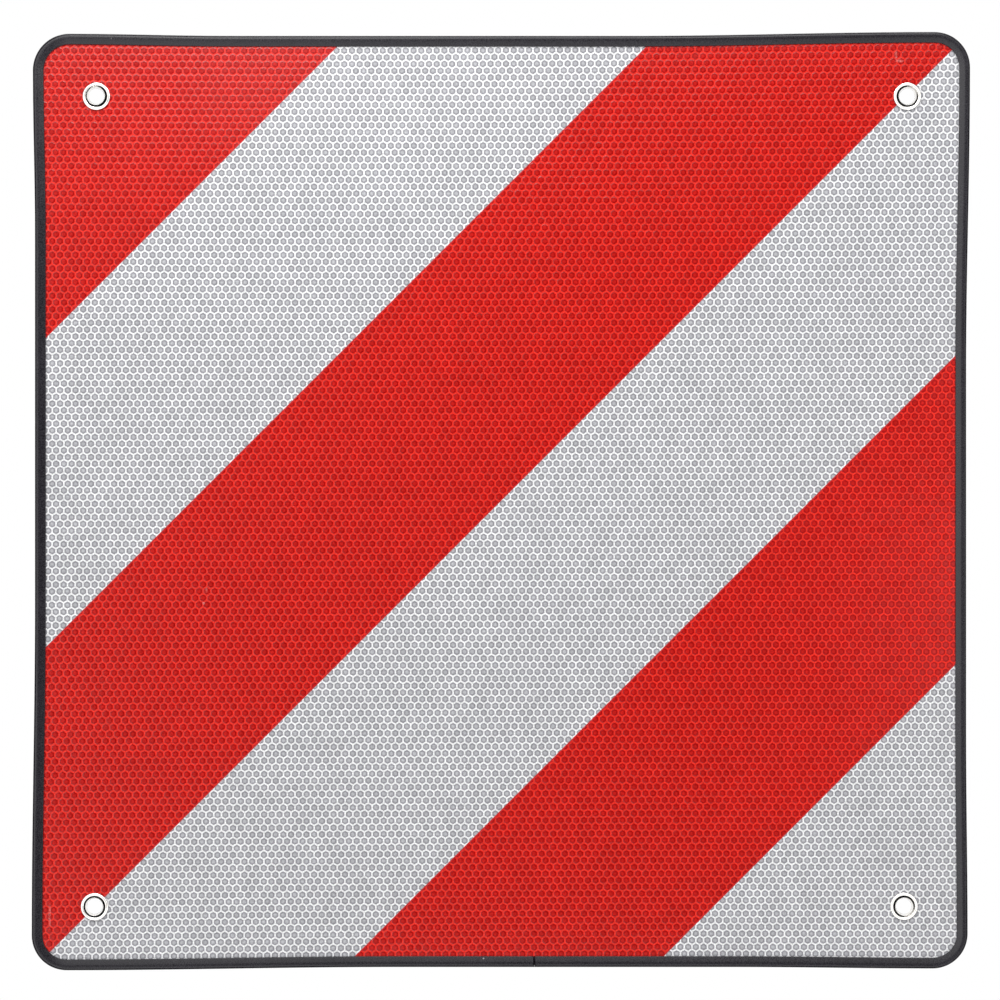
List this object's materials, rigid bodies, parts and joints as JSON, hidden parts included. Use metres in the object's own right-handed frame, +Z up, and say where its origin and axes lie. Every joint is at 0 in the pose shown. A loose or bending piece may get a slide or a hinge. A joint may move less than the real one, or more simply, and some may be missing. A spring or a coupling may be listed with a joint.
{
  "type": "overhanging load sign",
  "caption": "Square flat warning sign for a load that overhangs a vehicle: red and white diagonal honeycomb reflective sheeting, black edge trim, an eyelet at each corner.",
  "frame": {"origin": "middle of the square of four eyelets, on the plane of the panel's bare rear face", "axes": "+Z up the sign, -Y out of its striped face, +Y out of its rear, +X to the right as seen from the front"},
  "size_m": [0.5061, 0.0051, 0.5061],
  "materials": {
    "aluminium": "mill-finish rolled aluminium sheet, left bare on the rear",
    "white_sheeting": "glossy white honeycomb reflective sheeting: grey cells with paler raised seams",
    "red_overlay": "glossy clear red film that shows the honeycomb under it",
    "black_edging": "satin black soft PVC extrusion",
    "nickel_plate": "bright nickel plate on brass",
    "nickel_washer": "nickel plate, duller than the eyelets"
  },
  "bodies": {
    "root": {"panel": "aluminium", "honeycomb_sheeting": "white_sheeting", "red_corner": "red_overlay", "red_centre_band": "red_overlay", "red_lower_band": "red_overlay", "edge_trim": "black_edging", "eyelet_top_left": "nickel_plate", "eyelet_top_right": "nickel_plate", "eyelet_bottom_left": "nickel_plate", "eyelet_bottom_right": "nickel_plate", "washer_top_left": "nickel_washer", "washer_top_right": "nickel_washer", "washer_bottom_left": "nickel_washer", "washer_bottom_right": "nickel_washer"}
  },
  "joints": []
}
